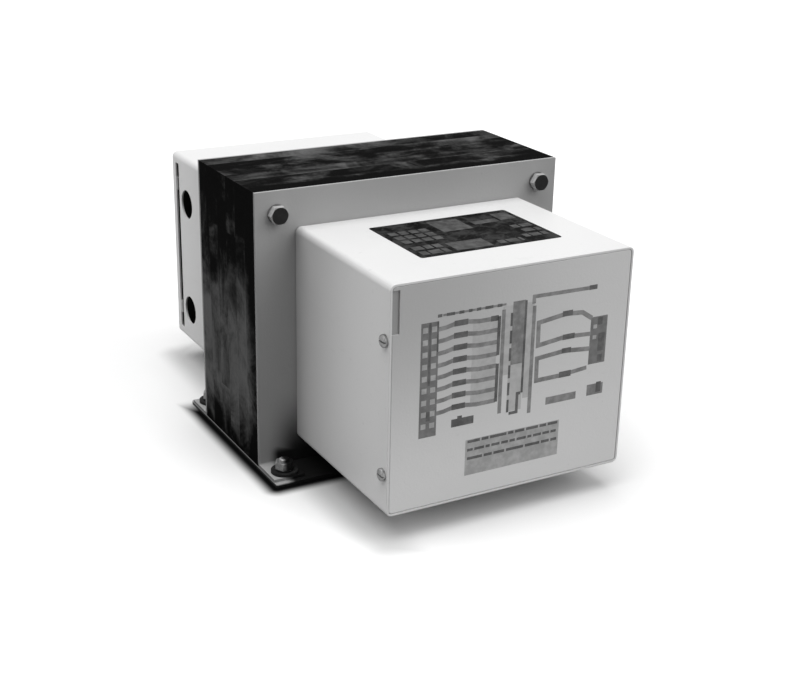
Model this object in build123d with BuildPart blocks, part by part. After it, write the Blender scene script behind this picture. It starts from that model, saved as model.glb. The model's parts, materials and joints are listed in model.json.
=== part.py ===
"""Open core-and-coil dry type transformer with a sheet steel end bell on each side of its core."""
import os
from math import cos, pi, radians, tan

from build123d import *

os.makedirs("parts", exist_ok=True)

# ---------------------------------------------------------------------------
# Driving dimensions, in millimetres.  X is the width, -Y the front, +Z up.
# The origin is the middle of the base plate's underside.
# ---------------------------------------------------------------------------

# Laminated core: scrapless E and I laminations, so the width of a leg sets the whole outline
leg_width = 38.1
stack_depth = 93.0
stack_groups = 6
core_bolt_bore_r = 4.3
core_bolt_inset = 15.0

# Frames and base
frame_sheet = 2.0
base_sheet = 2.5
base_corner_r = 1.5
foot_overhang = 29.0
foot_tab_width = 22.0
foot_tab_length = 25.0
foot_bend_r = 3.0
foot_stud_offset = 16.5
foot_stud_r = 3.2
foot_stud_head_r = 4.8
foot_stud_head_h = 1.2
foot_nut_across = 11.1
foot_nut_h = 5.0
foot_washer_r = 6.35
foot_washer_t = 1.2
isolator_r = 9.0
isolator_t = 2.0
thread_proud = 2.0

# Mounting holes in the base plate
mount_hole_r = 4.5
mount_spacing_x = 120.0
mount_edge = 12.0

# Core bolts
core_bolt_r = 3.175
core_bolt_across = 11.1
core_bolt_head_h = 4.8
core_nut_h = 5.6
core_washer_r = 6.35
core_washer_t = 1.2
sleeve_wall = 0.8

# Coil
former_gap = 0.5
former_wall = 1.5
former_top_gap = 0.6
former_corner_r = 1.0
primary_build = 14.0
barrier_t = 1.0
wrap_t = 1.0
wedge_t = 3.1

# End bells and their covers
bell_sheet = 1.5
bell_side_margin = 10.3
bell_top_margin = 13.1
bell_bottom_margin = 21.1
wiring_depth = 95.0
bell_corner_r = 4.0
flange_edge_gap = 0.6
bell_stud_spacing = 120.0
bell_stud_r = 2.0
bell_nut_across = 7.0
bell_nut_h = 3.2
cover_gap = 0.25
cover_set_back = 0.15
cover_screw_flange = 12.0
cover_long_flange = 10.0
cover_hook_flange = 4.5
cover_bend_r = 0.6
cover_relief = 9.0
recess_width = 4.8
recess_depth = 1.0
hook_height = 10.0
hook_setback = 22.0
entry_r = 11.1
entry_setback = 28.0
entry_drop = 35.5
entry_spacing = 86.0
vent_width = 6.6
vent_setback = 6.2
vent_end_margin = 7.0
cover_screw_setback = 5.4
cover_screw_r = 2.05
cover_screw_head_r = 4.1
cover_screw_head_h = 2.6
cover_screw_dome_r = 1.5
cover_screw_length = 9.0
screw_slot_width = 1.0
vent_corner_r = 1.5
hook_inset = 0.4
bell_seat_r = 1.2
bell_rim_r = 0.4
screw_slot_depth = 1.1

# Terminal boards, shared by both sides
board_width = 146.0
board_height = 34.0
board_t = 6.0
board_clearance = 17.0
bracket_sheet = 1.5
bracket_foot = 7.0
bracket_offset = 0.8
bracket_height = 26.0
bracket_screw_edge = 6.25
board_screw_inset = 7.0
board_screw_spacing = 16.0
board_screw_r = 1.9
board_screw_head_r = 3.4
board_screw_head_h = 2.2
board_screw_length = 11.0
lug_t = 1.0
lug_barrel_wall = 0.8
lug_lift = 0.2
terminal_head_h = 2.5
board_corner_r = 2.0
lug_neck = 8.0
lead_exit_drop = 14.0
lead_straight = 14.0
lead_fall = 11.0

# Primary side: ten tapped terminals.  Secondary side: four heavy terminals.
primary_count = 10
primary_pitch = 11.5
primary_exit_pitch = 7.2
primary_stud_r = 2.5
primary_nut_across = 8.0
primary_nut_h = 4.0
primary_lug_r = 4.8
primary_lead_r = 1.5
secondary_count = 4
secondary_pitch = 27.0
secondary_exit_pitch = 19.0
secondary_stud_r = 3.175
secondary_nut_across = 11.1
secondary_nut_h = 5.5
secondary_lug_r = 7.0
secondary_lead_r = 2.6

# Earth stud on the rear frame
earth_stud_r = 2.5
earth_nut_across = 8.0
earth_nut_h = 4.0
earth_washer_r = 5.0
earth_washer_t = 1.0

# Fits
slip = 0.1
stud_hole_slack = 0.4
thread_slack = 0.05

# ---------------------------------------------------------------------------
# Sizes and places that follow from the values above
# ---------------------------------------------------------------------------
core_width = 6 * leg_width
core_height = 5 * leg_width
tongue = 2 * leg_width
window_width = 4 * leg_width
window_height = 3 * leg_width
core_base = base_sheet
core_top = core_base + core_height
window_base = core_base + leg_width
window_top = window_base + window_height
bolt_x = core_width / 2 - core_bolt_inset
bolt_z = core_top - core_bolt_inset
bolt_places = [(-bolt_x, bolt_z), (bolt_x, bolt_z)]
group_depth = stack_depth / stack_groups
frame_face = stack_depth / 2 + frame_sheet

base_depth = 2 * (frame_face + foot_overhang)
foot_x = core_width / 2 - foot_tab_width / 2
foot_y = frame_face + foot_stud_offset
mount_y = base_depth / 2 - mount_edge
foot_top = base_sheet + frame_sheet
fold_rise = 3 * foot_bend_r

former_out = former_gap + former_wall
secondary_build = leg_width - former_out - primary_build - barrier_t - wrap_t - wedge_t
former_height = window_height - former_top_gap
primary_out = former_out + primary_build
barrier_out = primary_out + barrier_t
secondary_out = barrier_out + secondary_build
wrap_out = secondary_out + wrap_t
coil_face = stack_depth / 2 + wrap_out
winding_height = former_height - 2 * former_wall
winding_base = window_base + former_wall

bell_width = window_width + 2 * bell_side_margin
bell_base = window_base - bell_bottom_margin
bell_top = window_top + bell_top_margin
bell_height = bell_top - bell_base
bell_mid = (bell_top + bell_base) / 2
bell_depth = coil_face - frame_face + wiring_depth
bell_face = frame_face + bell_depth
cover_face = bell_face - cover_set_back
top_flange = bell_top_margin - bell_sheet - flange_edge_gap
bottom_flange = bell_bottom_margin - bell_sheet - flange_edge_gap
bell_stud_top = window_top + flange_edge_gap + top_flange / 2
bell_stud_bottom = window_base - flange_edge_gap - bottom_flange / 2
bell_stud_length = bell_sheet + bell_nut_h + thread_proud
entry_heights = [bell_top - entry_drop, bell_top - entry_drop - entry_spacing]

board_back = coil_face + board_clearance
board_face = board_back + board_t
board_mid = (window_base + window_top) / 2
bracket_x = window_width / 2 + bracket_offset
board_screw_x = board_width / 2 - board_screw_inset
board_screw_places = [(sx * board_screw_x, sz * board_screw_spacing / 2) for sx in (-1, 1) for sz in (-1, 1)]
bell_stud_heights = [bell_stud_bottom, bell_stud_top]
bell_stud_places = [(sx * bell_stud_spacing / 2, z) for sx in (-1, 1) for z in bell_stud_heights]
lead_exit_z = winding_base + winding_height - lead_exit_drop


# ---------------------------------------------------------------------------
# Shared shapes
# ---------------------------------------------------------------------------
def pitch_places(count, pitch):
    """Centres of a row of equal steps, about zero."""
    return [(i - (count - 1) / 2) * pitch for i in range(count)]


def facing_front(x, y, z):
    """Plane whose normal points to the front, through the point that lies y before the origin."""
    return Plane(origin=(x, -y, z), x_dir=(1, 0, 0), z_dir=(0, -1, 0))


def four_corners(x, y, z):
    """Upright places at the corners of a rectangle about the vertical axis."""
    return [Location((sx * x, sy * y, z)) for sx in (-1, 1) for sy in (-1, 1)]


def placed(piece, places):
    """Copies of one small piece, as separate solids of one group."""
    with BuildPart() as copies:
        with Locations(*places):
            add(piece)
    return copies.part


def turned(piece):
    """The same piece on the rear side: half a turn about the vertical axis."""
    return piece.rotate(Axis.Z, 180)


def save(piece, label):
    """Name a finished piece and write it."""
    piece.label = label
    export_step(piece, f"parts/{label}.step")


def hexagon(across, height, bore_r=0.0):
    """Hexagon with its outer corners turned off at 30 degrees, standing on the XY plane."""
    corner_r = across / 2 / cos(pi / 6)
    drop = (corner_r - across / 2) * tan(pi / 6)
    with BuildPart() as piece:
        with BuildSketch():
            RegularPolygon(radius=across / 2, side_count=6, major_radius=False)
        extrude(amount=height)
        with BuildSketch(Plane.XZ):
            Polygon((0, 0), (corner_r, 0), (corner_r, height - drop), (across / 2, height), (0, height),
                    align=None)
        revolve(axis=Axis.Z, mode=Mode.INTERSECT)
        if bore_r > 0:
            with BuildSketch():
                Circle(bore_r)
            extrude(amount=height, mode=Mode.SUBTRACT)
    return piece.part


def washer(outer_r, bore_r, thickness):
    """Flat ring on the XY plane."""
    with BuildPart() as piece:
        with BuildSketch():
            Circle(outer_r)
            Circle(bore_r, mode=Mode.SUBTRACT)
        extrude(amount=thickness)
    return piece.part


def round_bar(radius, length, chamfer_size=0.4):
    """Round bar standing on the XY plane, its far end chamfered."""
    with BuildPart() as piece:
        with BuildSketch():
            Circle(radius)
        extrude(amount=length)
        chamfer(piece.edges().group_by(Axis.Z)[-1], length=chamfer_size)
    return piece.part


def slotted_screw(head_r, head_h, dome_r, shank_r, length):
    """Slotted screw: the head stands on the XY plane, its rim rounded by dome_r, and the shank goes down."""
    with BuildPart() as piece:
        with BuildSketch():
            Circle(head_r)
        extrude(amount=head_h)
        if dome_r > 0:
            fillet(piece.edges().group_by(Axis.Z)[-1], radius=dome_r)
        with BuildSketch(Plane.XY.offset(head_h - screw_slot_depth)):
            Rectangle(screw_slot_width, 2 * head_r)
        extrude(amount=screw_slot_depth, mode=Mode.SUBTRACT)
        with BuildSketch():
            Circle(shank_r)
        extrude(amount=-length)
    return piece.part


# ---------------------------------------------------------------------------
# Base plate with its pressed-in studs
# ---------------------------------------------------------------------------
def make_base_plate():
    with BuildPart() as plate:
        with BuildSketch():
            RectangleRounded(core_width, base_depth, base_corner_r)
        extrude(amount=base_sheet)
        with Locations(*four_corners(foot_x, foot_y, base_sheet)):
            Hole(foot_stud_r + slip)
        with BuildSketch():
            with Locations(*[(sx * foot_x, sy * foot_y) for sx in (-1, 1) for sy in (-1, 1)]):
                Circle(foot_stud_head_r + slip)
        extrude(amount=foot_stud_head_h, mode=Mode.SUBTRACT)
        with Locations(*four_corners(mount_spacing_x / 2, mount_y, base_sheet)):
            Hole(mount_hole_r)
    return plate.part


def make_foot_stud():
    """Stud with a flush head in the plate's underside."""
    above_tab = isolator_t + foot_washer_t + foot_nut_h + thread_proud
    with BuildPart() as stud:
        with BuildSketch():
            Circle(foot_stud_head_r)
        extrude(amount=foot_stud_head_h)
        with BuildSketch(Plane.XY.offset(foot_stud_head_h)):
            Circle(foot_stud_r)
        extrude(amount=foot_top - foot_stud_head_h + above_tab)
        chamfer(stud.edges().group_by(Axis.Z)[-1], length=0.6)
    return stud.part


# ---------------------------------------------------------------------------
# Frames: one folded sheet on each face of the core
# ---------------------------------------------------------------------------
def make_foot_fold():
    """The fold that turns the frame's lower edge forward into a foot tab."""
    with BuildPart() as fold:
        with BuildSketch(Plane.YZ):
            with BuildLine():
                FilletPolyline(
                    (-frame_face + frame_sheet / 2, core_base + fold_rise),
                    (-frame_face + frame_sheet / 2, core_base + frame_sheet / 2),
                    (-frame_face - foot_tab_length, core_base + frame_sheet / 2),
                    radius=foot_bend_r - frame_sheet / 2,
                )
            trace(line_width=frame_sheet)
        extrude(amount=foot_tab_width / 2, both=True)
    return fold.part


def make_frame():
    """Front frame: a plate with the coil window, and two foot tabs folded forward."""
    with BuildPart() as frame:
        with BuildSketch(facing_front(0, stack_depth / 2, 0)):
            with Locations((0, (core_base + core_top) / 2)):
                Rectangle(core_width, core_height)
            with Locations((0, (window_base + window_top) / 2)):
                RectangleRounded(window_width, window_height, foot_bend_r, mode=Mode.SUBTRACT)
            with Locations(*bolt_places):
                Circle(core_bolt_r + stud_hole_slack, mode=Mode.SUBTRACT)
            with Locations((-foot_x, core_base + fold_rise / 2), (foot_x, core_base + fold_rise / 2)):
                Rectangle(foot_tab_width, fold_rise, mode=Mode.SUBTRACT)
        extrude(amount=frame_sheet)
        add(placed(make_foot_fold(), [Location((-foot_x, 0, 0)), Location((foot_x, 0, 0))]))
        with Locations(*four_corners(foot_x, foot_y, foot_top)):
            Hole(foot_stud_r + stud_hole_slack, depth=frame_sheet)
    return frame.part


# ---------------------------------------------------------------------------
# Core: groups of E laminations, each closed by a group of I laminations, turned
# end for end from one group to the next
# ---------------------------------------------------------------------------
def group_fronts(first):
    """Front faces of every second group, counted from the front of the stack."""
    return [stack_depth / 2 - i * group_depth for i in range(first, stack_groups, 2)]


def make_e_groups(first, yoke_at_top):
    """E laminations: a yoke with three legs that end at the I laminations."""
    i_mid = core_base + leg_width / 2 if yoke_at_top else core_top - leg_width / 2
    with BuildPart() as groups:
        for front in group_fronts(first):
            with BuildSketch(facing_front(0, front - group_depth, 0)):
                with Locations((0, (core_base + core_top) / 2)):
                    Rectangle(core_width, core_height)
                with Locations((0, i_mid)):
                    Rectangle(core_width, leg_width, mode=Mode.SUBTRACT)
                with Locations((-1.5 * leg_width, board_mid), (1.5 * leg_width, board_mid)):
                    Rectangle(leg_width, window_height, mode=Mode.SUBTRACT)
                if yoke_at_top:
                    with Locations(*bolt_places):
                        Circle(core_bolt_bore_r, mode=Mode.SUBTRACT)
            extrude(amount=group_depth)
    return groups.part


def make_i_groups(first, at_top):
    """I laminations: the bars that close the legs."""
    mid = core_top - leg_width / 2 if at_top else core_base + leg_width / 2
    with BuildPart() as groups:
        for front in group_fronts(first):
            with BuildSketch(facing_front(0, front - group_depth, 0)):
                with Locations((0, mid)):
                    Rectangle(core_width, leg_width)
                if at_top:
                    with Locations(*bolt_places):
                        Circle(core_bolt_bore_r, mode=Mode.SUBTRACT)
            extrude(amount=group_depth)
    return groups.part


# ---------------------------------------------------------------------------
# Core bolts
# ---------------------------------------------------------------------------
def make_core_bolt():
    """Hexagon head on the XY plane, its shank going down through the whole core."""
    shank = 2 * frame_face + 2 * core_washer_t + core_nut_h + thread_proud
    with BuildPart() as bolt:
        add(hexagon(core_bolt_across, core_bolt_head_h))
        with BuildSketch():
            Circle(core_bolt_r)
        extrude(amount=-shank)
        chamfer(bolt.edges().group_by(Axis.Z)[0], length=0.7)
    return bolt.part


def make_sleeve():
    """Insulating tube that keeps the bolt off the laminations."""
    inner_r = core_bolt_r + slip
    return washer(inner_r + sleeve_wall, inner_r, stack_depth)


# ---------------------------------------------------------------------------
# Coil around the middle leg
# ---------------------------------------------------------------------------
def coil_ring(inner, outer, base, height):
    """Ring around the tongue; inner and outer are measured outwards from the tongue."""
    with BuildPart() as ring:
        with BuildSketch(Plane.XY.offset(base)):
            RectangleRounded(tongue + 2 * outer, stack_depth + 2 * outer, former_corner_r + outer)
            RectangleRounded(tongue + 2 * inner, stack_depth + 2 * inner, former_corner_r + inner,
                             mode=Mode.SUBTRACT)
        extrude(amount=height)
    return ring.part


def make_former():
    """Bobbin: a square tube with a cheek at each end."""
    with BuildPart() as former:
        add(coil_ring(former_gap, former_out, window_base, former_height))
        add(coil_ring(former_gap, secondary_out, window_base, former_wall))
        add(coil_ring(former_gap, secondary_out, window_base + former_height - former_wall, former_wall))
    return former.part


def make_wedges():
    """Strips that lock the coil between the outer legs."""
    with BuildPart() as wedges:
        with BuildSketch(Plane.XY.offset(winding_base)):
            mid = window_width / 2 - wedge_t / 2
            with Locations((-mid, 0), (mid, 0)):
                Rectangle(wedge_t, stack_depth - 2 * former_corner_r)
        extrude(amount=winding_height)
    return wedges.part


# ---------------------------------------------------------------------------
# End bell: a folded sheet box, open to the coil and to the cover
# ---------------------------------------------------------------------------
def make_bell_shell():
    """Front bell: its left wall takes the cover screws, its right wall has the entries and the vent."""
    inner_width = bell_width - 2 * bell_sheet
    inner_height = bell_height - 2 * bell_sheet
    with BuildPart() as bell:
        with BuildSketch(facing_front(0, frame_face, bell_mid)):
            RectangleRounded(bell_width, bell_height, bell_corner_r)
            RectangleRounded(inner_width, inner_height, bell_corner_r - bell_sheet, mode=Mode.SUBTRACT)
        extrude(amount=bell_depth)
        with BuildSketch(facing_front(0, frame_face, 0)):
            with Locations((0, bell_top - bell_sheet - top_flange / 2)):
                Rectangle(bell_width - 2 * bell_corner_r, top_flange)
            with Locations((0, bell_base + bell_sheet + bottom_flange / 2)):
                Rectangle(bell_width - 2 * bell_corner_r, bottom_flange)
            with Locations(*bell_stud_places):
                Circle(bell_stud_r + stud_hole_slack, mode=Mode.SUBTRACT)
            with Locations((0, bell_stud_bottom)):
                Circle(earth_stud_r + stud_hole_slack, mode=Mode.SUBTRACT)
        extrude(amount=bell_sheet)
        seat = bell.faces().sort_by(Axis.Y)[-1]
        fillet(seat.outer_wire().edges(), radius=bell_seat_r)
        rim = bell.faces().sort_by(Axis.Y)[0]
        fillet(rim.outer_wire().edges(), radius=bell_rim_r)
        with BuildSketch(Plane.YZ.offset(bell_width / 2 - 2 * bell_sheet)):
            with Locations(*[(entry_setback - bell_face, z) for z in entry_heights]):
                Circle(entry_r)
            with Locations((vent_setback + vent_width / 2 - bell_face, bell_mid)):
                RectangleRounded(vent_width, bell_height - 2 * vent_end_margin, vent_corner_r)
        extrude(amount=2 * bell_sheet, mode=Mode.SUBTRACT)
        with BuildSketch(Plane.YZ.offset(-bell_width / 2)):
            with Locations(*[(cover_screw_setback - bell_face, z) for z in entry_heights]):
                Circle(cover_screw_r + stud_hole_slack)
        extrude(amount=2 * bell_sheet, mode=Mode.SUBTRACT)
    return bell.part


def bell_piece(mode):
    """The shell with the flat of its right wall cut away, or that flat by itself."""
    with BuildPart() as piece:
        add(make_bell_shell())
        with BuildSketch(facing_front((bell_width - bell_sheet) / 2, frame_face, bell_mid)):
            Rectangle(bell_sheet, bell_height - 2 * bell_corner_r)
        extrude(amount=bell_depth, mode=mode)
    return piece.part


def make_bell():
    """Wrapper: left wall, top and bottom folded from one sheet, with both right-hand bends."""
    return bell_piece(Mode.SUBTRACT)


def make_entry_panel():
    """Right wall, welded in edge to edge between the wrapper's bends."""
    return bell_piece(Mode.INTERSECT)


def make_cover():
    """Front cover: a panel set into the bell, its flanges folded back inside the walls."""
    width = bell_width - 2 * (bell_sheet + cover_gap)
    height = bell_height - 2 * (bell_sheet + cover_gap)
    screw_mid = sum(entry_heights) / 2
    screw_flange_height = entry_spacing + cover_relief
    recess_base = screw_mid + screw_flange_height / 2
    recess_top = bell_top - bell_corner_r
    recess_mid = (recess_base + recess_top) / 2
    hook_depth = vent_setback + cover_gap + bell_sheet
    with BuildPart() as cover:
        with BuildSketch(facing_front(0, cover_face - bell_sheet, bell_mid)):
            RectangleRounded(width, height, bell_corner_r - bell_sheet - cover_gap)
        extrude(amount=bell_sheet)
        fillet(cover.faces().sort_by(Axis.Y)[0].edges(), radius=cover_bend_r)
        # Shallow step in the left edge, where a blade lifts the cover
        with BuildSketch(facing_front(0, cover_face - recess_depth, recess_mid)):
            with Locations((-width / 2 + recess_width / 2, 0)):
                Rectangle(recess_width, recess_top - recess_base)
        extrude(amount=recess_depth, mode=Mode.SUBTRACT)
        with BuildSketch(facing_front(0, cover_face - bell_sheet - recess_depth, recess_mid)):
            with Locations((-width / 2 + recess_width / 2 + recess_depth / 2, 0)):
                Rectangle(recess_width + recess_depth, recess_top - recess_base)
        extrude(amount=recess_depth)
        # Screw flange on the left
        with BuildSketch(facing_front(0, cover_face - cover_screw_flange, screw_mid)):
            with Locations((-width / 2 + bell_sheet / 2, 0)):
                Rectangle(bell_sheet, screw_flange_height)
        extrude(amount=cover_screw_flange - bell_sheet)
        # Long flanges along the top and the bottom
        with BuildSketch(facing_front(0, cover_face - cover_long_flange, bell_mid)):
            edge = height / 2 - bell_sheet / 2
            with Locations((0, edge), (0, -edge)):
                Rectangle(width - 2 * cover_relief, bell_sheet)
        extrude(amount=cover_long_flange - bell_sheet)
        # Hook flange on the right, with two hooks that reach into the vent
        with BuildSketch(facing_front(0, cover_face - cover_hook_flange, bell_mid)):
            with Locations((width / 2 - bell_sheet / 2, 0)):
                Rectangle(bell_sheet, height - 2 * cover_relief)
        extrude(amount=cover_hook_flange - bell_sheet)
        hook_places = [(0, height / 2 - hook_setback), (0, hook_setback - height / 2)]
        with BuildSketch(facing_front(width / 2 - bell_sheet / 2, bell_face - hook_depth, bell_mid)):
            with Locations(*hook_places):
                Rectangle(bell_sheet, hook_height)
        extrude(amount=hook_depth - cover_set_back - bell_sheet)
        hook_reach = bell_sheet + cover_gap + bell_sheet - hook_inset
        hook_x = width / 2 - bell_sheet + hook_reach / 2
        with BuildSketch(facing_front(hook_x, bell_face - hook_depth, bell_mid)):
            with Locations(*hook_places):
                Rectangle(hook_reach, hook_height)
        extrude(amount=bell_sheet)
        with BuildSketch(Plane.YZ.offset(-bell_width / 2)):
            with Locations(*[(cover_screw_setback - bell_face, z) for z in entry_heights]):
                Circle(cover_screw_r + thread_slack)
        extrude(amount=3 * bell_sheet, mode=Mode.SUBTRACT)
    return cover.part


# ---------------------------------------------------------------------------
# Terminal board on two brackets, with its studs, lugs and leads
# ---------------------------------------------------------------------------
def make_brackets():
    """Two folded strips that carry the board in front of the coil, their feet on the frame."""
    arm_x = bracket_x + bracket_sheet / 2
    with BuildPart() as bracket:
        with BuildSketch(Plane.XY.offset(board_mid)):
            with BuildLine():
                FilletPolyline(
                    (arm_x + bracket_foot, bracket_sheet / 2 - frame_face - bracket_sheet),
                    (arm_x, bracket_sheet / 2 - frame_face - bracket_sheet),
                    (arm_x, bracket_sheet / 2 - board_back),
                    (board_screw_x - bracket_screw_edge, bracket_sheet / 2 - board_back),
                    radius=bracket_sheet,
                )
            trace(line_width=bracket_sheet)
        extrude(amount=bracket_height / 2, both=True)
        with BuildSketch(facing_front(0, board_back - 2 * bracket_sheet, board_mid)):
            with Locations(*[(board_screw_x, sz * board_screw_spacing / 2) for sz in (-1, 1)]):
                Circle(board_screw_r + thread_slack)
        extrude(amount=2 * bracket_sheet, mode=Mode.SUBTRACT)
        mirror(about=Plane.YZ)
    return bracket.part


def make_board(count, pitch, stud_r):
    """Moulded insulating board with a rib between each two terminals."""
    with BuildPart() as board:
        with BuildSketch(facing_front(0, board_back, board_mid)):
            RectangleRounded(board_width, board_height, board_corner_r)
            with Locations(*[(x, 0) for x in pitch_places(count, pitch)]):
                Circle(stud_r + slip, mode=Mode.SUBTRACT)
            with Locations(*board_screw_places):
                Circle(board_screw_r + stud_hole_slack, mode=Mode.SUBTRACT)
        extrude(amount=board_t)
    return board.part


def make_terminal(stud_r, head_across, nut_h):
    """Stud with a flat hexagon head behind the board; the XY plane is the board's back."""
    with BuildPart() as terminal:
        with BuildSketch():
            RegularPolygon(radius=head_across / 2, side_count=6, major_radius=False)
        extrude(amount=-terminal_head_h)
        with BuildSketch():
            Circle(stud_r)
        extrude(amount=board_t + lug_t + nut_h + thread_proud)
        chamfer(terminal.edges().group_by(Axis.Z)[-1], length=0.4)
    return terminal.part


def make_lug(stud_r, ring_r, barrel_r):
    """Ring lug on the board's face, drawn on the XY plane with its barrel along +Y."""
    with BuildPart() as lug:
        with BuildSketch():
            Circle(ring_r)
            with Locations((0, ring_r / 2 + lug_neck / 4)):
                Rectangle(1.6 * barrel_r, ring_r + lug_neck / 2)
            Circle(stud_r + slip, mode=Mode.SUBTRACT)
        extrude(amount=lug_t)
        with BuildSketch(Plane(origin=(0, ring_r + lug_neck, barrel_r + lug_lift), z_dir=(0, 1, 0))):
            Circle(barrel_r)
        extrude(amount=-lug_neck)
    return lug.part


def lead_path(x_exit, x_end, lead_r, ring_r):
    """Corners of one lead: straight out of the coil, across, and down into its lug."""
    lug_y = board_face + lead_r + lug_barrel_wall + lug_lift
    return [
        Vector(x_exit, -coil_face, lead_exit_z),
        Vector(x_exit, -coil_face - lead_straight, lead_exit_z),
        Vector(x_end, -lug_y, lead_exit_z - lead_fall),
        Vector(x_end, -lug_y, board_mid + ring_r + lug_neck),
    ]


def bend_radii(corners):
    """The largest arc that the two runs at each corner leave room for."""
    radii = []
    for before, at, after in zip(corners, corners[1:], corners[2:]):
        run_in = at - before
        run_out = after - at
        half_turn = radians(run_in.get_angle(run_out)) / 2
        radii.append(0.45 * min(run_in.length, run_out.length) / tan(half_turn))
    return radii


def make_leads(count, pitch, exit_pitch, lead_r, ring_r):
    """One insulated lead for each terminal."""
    with BuildPart() as leads:
        for x_exit, x_end in zip(pitch_places(count, exit_pitch), pitch_places(count, pitch)):
            corners = lead_path(x_exit, x_end, lead_r, ring_r)
            with BuildLine() as route:
                FilletPolyline(*corners, radius=bend_radii(corners))
            with BuildSketch(Plane(origin=corners[0], z_dir=(0, -1, 0))):
                Circle(lead_r)
            sweep(path=route.wires()[0])
    return leads.part


def save_terminal_side(side, turn, count, pitch, exit_pitch, stud_r, nut_across, nut_h, ring_r, lead_r):
    """Write every piece of one board; turn puts it on its own side of the core."""
    studs = [facing_front(x, board_back, board_mid).location for x in pitch_places(count, pitch)]
    faces = [facing_front(x, board_face, board_mid).location for x in pitch_places(count, pitch)]
    nuts = [facing_front(x, board_face + lug_t, board_mid).location for x in pitch_places(count, pitch)]
    screws = [facing_front(x, board_face, board_mid + z).location for x, z in board_screw_places]
    screw = slotted_screw(board_screw_head_r, board_screw_head_h, 0, board_screw_r, board_screw_length)
    save(turn(make_brackets()), f"{side}_board_brackets")
    save(turn(make_board(count, pitch, stud_r)), f"{side}_terminal_board")
    save(turn(placed(screw, screws)), f"{side}_board_screws")
    save(turn(placed(make_terminal(stud_r, nut_across, nut_h), studs)), f"{side}_terminals")
    save(turn(placed(make_lug(stud_r, ring_r, lead_r + lug_barrel_wall), faces)), f"{side}_lugs")
    nut = hexagon(nut_across, nut_h, stud_r + thread_slack)
    save(turn(placed(nut, nuts)), f"{side}_terminal_nuts")
    save(turn(make_leads(count, pitch, exit_pitch, lead_r, ring_r)), f"{side}_leads")


# ---------------------------------------------------------------------------
# Build and write every piece
# ---------------------------------------------------------------------------
def save_base():
    save(make_base_plate(), "base_plate")
    save(placed(make_foot_stud(), four_corners(foot_x, foot_y, 0)), "foot_studs")
    stack = foot_top
    save(placed(washer(isolator_r, foot_stud_r + stud_hole_slack, isolator_t),
                four_corners(foot_x, foot_y, stack)), "foot_isolators")
    stack += isolator_t
    save(placed(washer(foot_washer_r, foot_stud_r + slip, foot_washer_t),
                four_corners(foot_x, foot_y, stack)), "foot_washers")
    stack += foot_washer_t
    save(placed(hexagon(foot_nut_across, foot_nut_h, foot_stud_r + thread_slack),
                four_corners(foot_x, foot_y, stack)), "foot_nuts")


def save_core():
    frame = make_frame()
    save(frame, "front_frame")
    save(turned(frame), "rear_frame")
    save(make_e_groups(0, yoke_at_top=False), "e_laminations_legs_up")
    save(make_i_groups(0, at_top=True), "i_laminations_top")
    save(make_e_groups(1, yoke_at_top=True), "e_laminations_legs_down")
    save(make_i_groups(1, at_top=False), "i_laminations_bottom")
    heads = [facing_front(x, frame_face + core_washer_t, z).location for x, z in bolt_places]
    sleeves = [facing_front(x, -stack_depth / 2, z).location for x, z in bolt_places]
    front_washers = [facing_front(x, frame_face, z).location for x, z in bolt_places]
    rear_washers = [facing_front(x, -frame_face - core_washer_t, z).location for x, z in bolt_places]
    nuts = [facing_front(x, -frame_face - core_washer_t - core_nut_h, z).location for x, z in bolt_places]
    save(placed(make_core_bolt(), heads), "core_bolts")
    save(placed(make_sleeve(), sleeves), "core_bolt_sleeves")
    save(placed(washer(core_washer_r, core_bolt_r + slip, core_washer_t), front_washers + rear_washers),
         "core_bolt_washers")
    save(placed(hexagon(core_bolt_across, core_nut_h, core_bolt_r + thread_slack), nuts), "core_bolt_nuts")


def save_coil():
    save(make_former(), "coil_former")
    save(coil_ring(former_out, primary_out, winding_base, winding_height), "primary_winding")
    save(coil_ring(primary_out, barrier_out, winding_base, winding_height), "winding_barrier")
    save(coil_ring(barrier_out, secondary_out, winding_base, winding_height), "secondary_winding")
    save(coil_ring(secondary_out, wrap_out, window_base, former_height), "coil_wrap")
    save(make_wedges(), "coil_wedges")


def save_bell_side(side, turn):
    """Write one bell, its cover and what fixes them."""
    on_flange = [facing_front(x, frame_face + bell_sheet, z).location for x, z in bell_stud_places]
    on_frame = [facing_front(x, frame_face, z).location for x, z in bell_stud_places]
    screws = [Plane(origin=(-bell_width / 2, cover_screw_setback - bell_face, z), z_dir=(-1, 0, 0)).location
              for z in entry_heights]
    earth = [facing_front(0, frame_face, bell_stud_bottom).location]
    earth_on_flange = [facing_front(0, frame_face + bell_sheet, bell_stud_bottom).location]
    earth_on_washer = [facing_front(0, frame_face + bell_sheet + earth_washer_t, bell_stud_bottom).location]
    earth_length = bell_sheet + earth_washer_t + earth_nut_h + thread_proud
    screw = slotted_screw(cover_screw_head_r, cover_screw_head_h, cover_screw_dome_r,
                          cover_screw_r, cover_screw_length)
    save(turn(make_bell()), f"{side}_bell")
    save(turn(make_entry_panel()), f"{side}_entry_panel")
    save(turn(make_cover()), f"{side}_cover")
    save(turn(placed(screw, screws)), f"{side}_cover_screws")
    save(turn(placed(round_bar(bell_stud_r, bell_stud_length), on_frame)), f"{side}_bell_studs")
    save(turn(placed(hexagon(bell_nut_across, bell_nut_h, bell_stud_r + thread_slack), on_flange)),
         f"{side}_bell_nuts")
    save(turn(placed(round_bar(earth_stud_r, earth_length), earth)), f"{side}_earth_stud")
    save(turn(placed(washer(earth_washer_r, earth_stud_r + slip, earth_washer_t), earth_on_flange)),
         f"{side}_earth_washer")
    save(turn(placed(hexagon(earth_nut_across, earth_nut_h, earth_stud_r + thread_slack), earth_on_washer)),
         f"{side}_earth_nut")


def in_front(piece):
    """The front side is drawn where it stands."""
    return piece


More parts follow.
